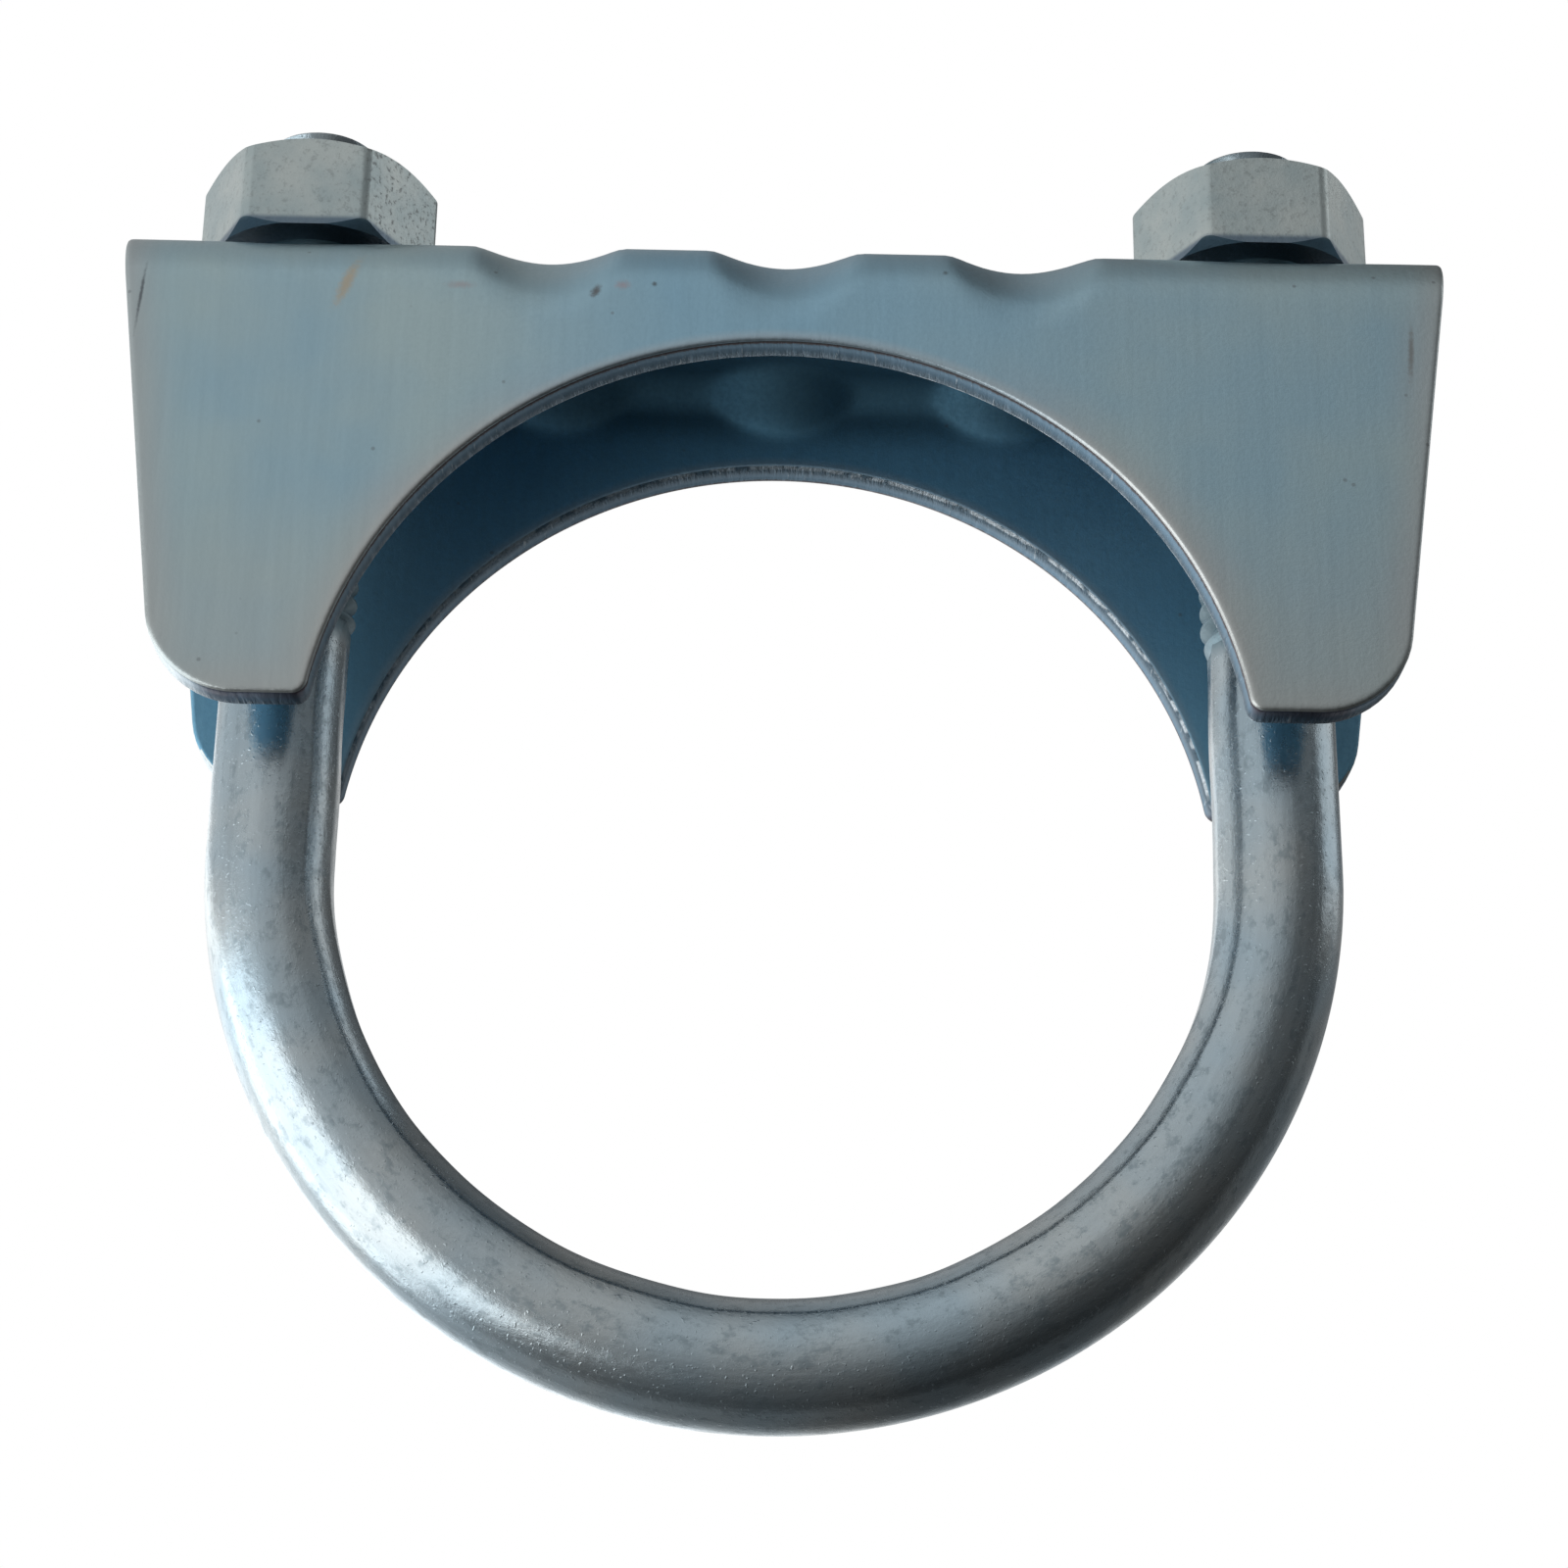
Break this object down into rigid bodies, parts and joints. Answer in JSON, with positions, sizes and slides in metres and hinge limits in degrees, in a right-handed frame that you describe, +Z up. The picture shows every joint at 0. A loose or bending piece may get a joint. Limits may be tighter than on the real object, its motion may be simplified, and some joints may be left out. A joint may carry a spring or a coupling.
{
  "type": "exhaust clamp",
  "caption": "Exhaust pipe clamp: a U-bolt with a flattened inner side, a pressed channel saddle with an arch in each flange, and hex nuts on the threaded legs.",
  "frame": {"origin": "on the pipe's axis, at the centre of the U-bolt's bend, half way along the saddle's depth", "axes": "+Z up the legs towards the nuts, +Y along the pipe away from the front flange, +X across the clamp to the right-hand leg"},
  "size_m": [0.08, 0.0192, 0.0804],
  "materials": {
    "plated_rod": "bright zinc plated bent wire rod",
    "plated_sheet": "blue passivated zinc plated pressed sheet",
    "plated_nut": "zinc plated cold forged nut"
  },
  "bodies": {
    "u_bolt": {"u_bolt": "plated_rod"},
    "saddle": {"saddle": "plated_sheet"},
    "nut_left": {"nut_left": "plated_nut"},
    "nut_right": {"nut_right": "plated_nut"}
  },
  "joints": [
    {"name": "saddle_slide", "type": "slide", "parent": "u_bolt", "child": "saddle", "axis": [0, 0, 1], "range_m": [-0.0035, 0.0021]},
    {"name": "nut_left_turn", "type": "hinge", "parent": "saddle", "child": "nut_left", "pos_m": [-0.02952, 0, 0.0386], "axis": [0, 0, 1], "range_deg": [-1008, 604.8]},
    {"name": "nut_right_turn", "type": "hinge", "parent": "saddle", "child": "nut_right", "pos_m": [0.02952, 0, 0.0386], "axis": [0, 0, 1], "range_deg": [-1008, 604.8]}
  ],
  "couplings": [
    {"joint": "nut_left_turn", "follows": "saddle_slide", "rad_per_m": 5026.5},
    {"joint": "nut_right_turn", "follows": "saddle_slide", "rad_per_m": 5026.5}
  ]
}
